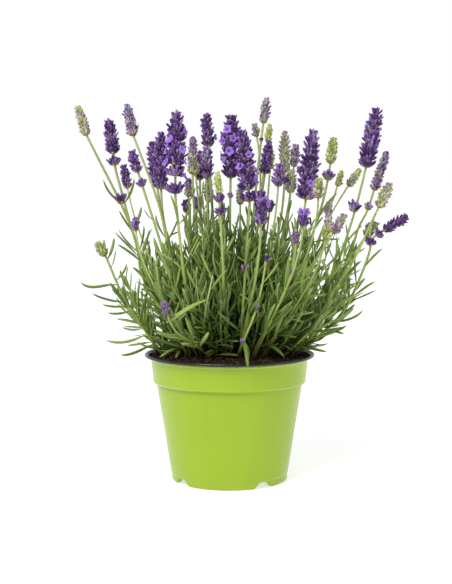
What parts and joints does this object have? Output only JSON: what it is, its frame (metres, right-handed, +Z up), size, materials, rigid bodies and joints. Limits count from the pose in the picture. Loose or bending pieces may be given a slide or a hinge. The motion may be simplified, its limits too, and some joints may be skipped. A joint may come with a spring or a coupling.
{
  "type": "potted lavender plant",
  "caption": "Bushy lavender in flower, with purple spikes on tall stems above narrow leaves, growing from soil in a thin tapered round pot with a rolled rim and notched foot.",
  "frame": {"origin": "centre of the pot's base, on the surface that it stands on", "axes": "+Z up along the pot's axis; -Y towards the side that the picture shows; +X to the right from there"},
  "size_m": [0.2894, 0.2222, 0.339],
  "materials": {
    "pot_plastic": "satin lime green outside, black inside and at the rolled rim",
    "soil": "damp dark brown crumbs of peat",
    "green_stem": "matt, square and finely downy, yellow-green, grey-green below the flowers",
    "leaf": "matt, finely downy grey-green with a pressed midrib",
    "purple_flower": "matt, downy, ribbed dark purple calyxes with brighter violet flowers",
    "opening_bud": "matt and downy, yellow-green at the foot of each calyx and violet at its mouth",
    "green_bud": "matt and downy yellow-green buds"
  },
  "bodies": {
    "root": {"pot": "pot_plastic", "potting_soil": "soil", "flower_spike_01": "opening_bud", "flower_stem_01": "green_stem", "flower_spike_02": "green_bud", "flower_stem_02": "green_stem", "flower_spike_03": "purple_flower", "flower_stem_03": "green_stem", "flower_spike_04": "opening_bud", "flower_stem_04": "green_stem", "flower_spike_05": "purple_flower", "flower_stem_05": "green_stem", "flower_spike_06": "purple_flower", "flower_stem_06": "green_stem", "flower_spike_07": "purple_flower", "flower_stem_07": "green_stem", "flower_spike_08": "purple_flower", "flower_stem_08": "green_stem", "flower_spike_09": "opening_bud", "flower_stem_09": "green_stem", "flower_spike_10": "purple_flower", "flower_stem_10": "green_stem", "flower_spike_11": "purple_flower", "flower_stem_11": "green_stem", "flower_spike_12": "purple_flower", "flower_stem_12": "green_stem", "flower_spike_13": "purple_flower", "flower_stem_13": "green_stem", "flower_spike_14": "purple_flower", "flower_stem_14": "green_stem", "flower_spike_15": "purple_flower", "flower_stem_15": "green_stem", "flower_spike_16": "opening_bud", "flower_stem_16": "green_stem", "flower_spike_17": "purple_flower", "flower_stem_17": "green_stem", "flower_spike_18": "opening_bud", "flower_stem_18": "green_stem", "flower_spike_19": "opening_bud", "flower_stem_19": "green_stem", "flower_spike_20": "purple_flower", "flower_stem_20": "green_stem", "flower_spike_21": "green_bud", "flower_stem_21": "green_stem", "flower_spike_22": "purple_flower", "flower_stem_22": "green_stem", "flower_spike_23": "purple_flower", "flower_stem_23": "green_stem", "flower_spike_24": "opening_bud", "flower_stem_24": "green_stem", "flower_spike_25": "purple_flower", "flower_stem_25": "green_stem", "leafy_branch_01": "leaf", "leafy_branch_02": "leaf", "leafy_branch_03": "leaf", "leafy_branch_04": "leaf", "leafy_branch_05": "leaf", "leafy_branch_06": "leaf", "leafy_branch_07": "leaf", "leafy_branch_08": "leaf"}
  },
  "joints": []
}
